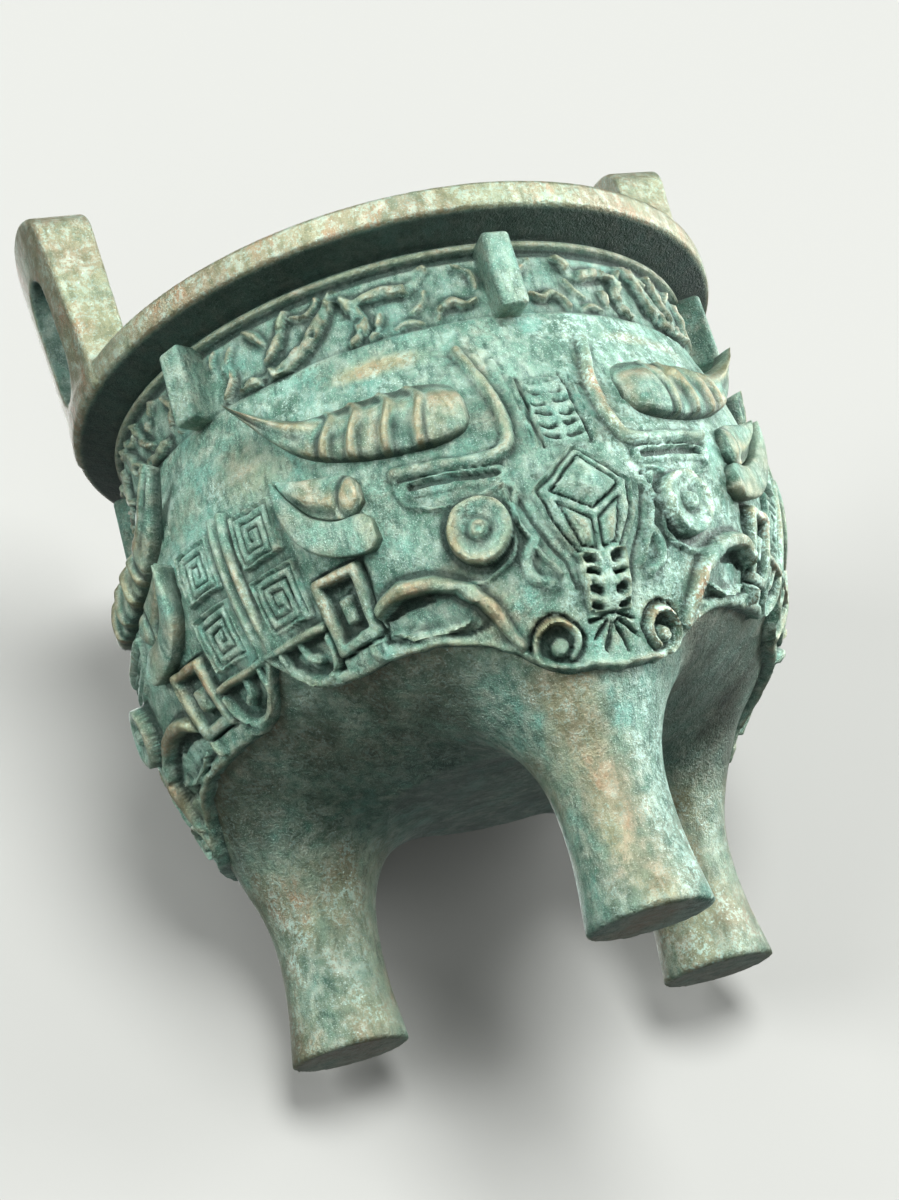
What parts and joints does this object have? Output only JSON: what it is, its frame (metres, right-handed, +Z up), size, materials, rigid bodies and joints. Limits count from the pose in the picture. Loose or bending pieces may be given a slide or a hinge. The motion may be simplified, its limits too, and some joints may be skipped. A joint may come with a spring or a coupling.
{
  "type": "tripod incense burner",
  "caption": "Cast bronze tripod censer: lobed open bowl on column legs, flat rim, upright loop handles, horned animal masks in relief.",
  "frame": {"origin": "on the ground, on the bowl's vertical axis, between the three feet", "axes": "+Z up, -Y toward the front leg and its mask, handles on +X and -X"},
  "size_m": [0.1268, 0.1205, 0.1544],
  "materials": {
    "bronze": "cast bronze with blue-green patina, worn brown on the high edges"
  },
  "bodies": {
    "root": {"tripod_censer": "bronze"}
  },
  "joints": []
}
